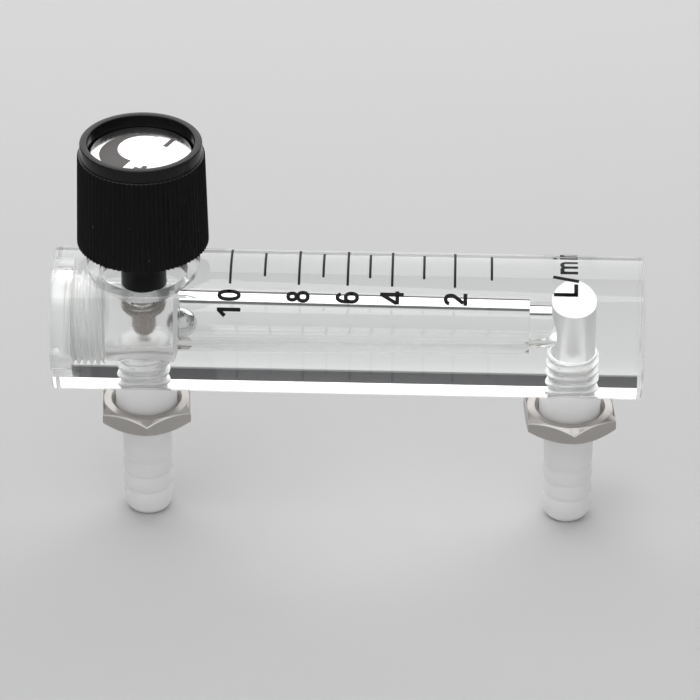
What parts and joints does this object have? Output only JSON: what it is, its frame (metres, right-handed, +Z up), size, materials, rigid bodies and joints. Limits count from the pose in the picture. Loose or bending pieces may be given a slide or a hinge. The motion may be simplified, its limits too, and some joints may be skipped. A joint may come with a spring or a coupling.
{
  "type": "oxygen flowmeter",
  "caption": "Clear acrylic bar flowmeter with a steel float ball in a tapered bore, a black needle valve knob, a printed scale and white hose barbs with panel nuts.",
  "frame": {"origin": "under the middle of the acrylic bar, level with the tips of the two hose barbs", "axes": "+X along the bar from the valve end to the inlet end, +Z up through the knob, -Z along the hose barbs"},
  "size_m": [0.1124, 0.0274, 0.0816],
  "materials": {
    "clear_acrylic": "polished clear acrylic",
    "clear_plug": "machined clear acrylic, slightly frosted",
    "pale_seal": "satin pale seal",
    "white_nylon": "milky white moulded nylon",
    "nut_steel": "polished plated steel",
    "ball_steel": "mirror polished steel",
    "spindle_black": "satin black",
    "black_rubber": "satin black rubber",
    "pad_rubber": "dark soft rubber",
    "knob_black": "satin black moulding with fine ribs",
    "disc_metal": "brushed bright metal with a dark printed mark",
    "screw_steel": "plain steel"
  },
  "bodies": {
    "meter": {"acrylic_body": "clear_acrylic", "end_plug": "clear_plug", "plug_seal": "pale_seal", "outlet_fitting": "white_nylon", "inlet_fitting": "white_nylon", "outlet_nut": "nut_steel", "inlet_nut": "nut_steel"},
    "float": {"float_ball": "ball_steel"},
    "stem": {"valve_pad": "pad_rubber"},
    "knob": {"knob": "knob_black", "knob_insert": "disc_metal", "knob_screw": "screw_steel", "valve_spindle": "spindle_black", "spindle_seal": "black_rubber"}
  },
  "joints": [
    {"name": "float_travel", "type": "slide", "parent": "meter", "child": "float", "axis": [1, 0, 0.0067], "range_m": [0, 0.064]},
    {"name": "stem_travel", "type": "slide", "parent": "meter", "child": "stem", "axis": [0, 0, 1], "range_m": [-0.0013, 0]},
    {"name": "knob_turn", "type": "hinge", "parent": "stem", "child": "knob", "pos_m": [-0.039, 0, 0.07], "axis": [0, 0, 1], "range_deg": [-468, 0]}
  ],
  "couplings": [
    {"joint": "knob_turn", "follows": "stem_travel", "rad_per_m": 6283.2}
  ]
}
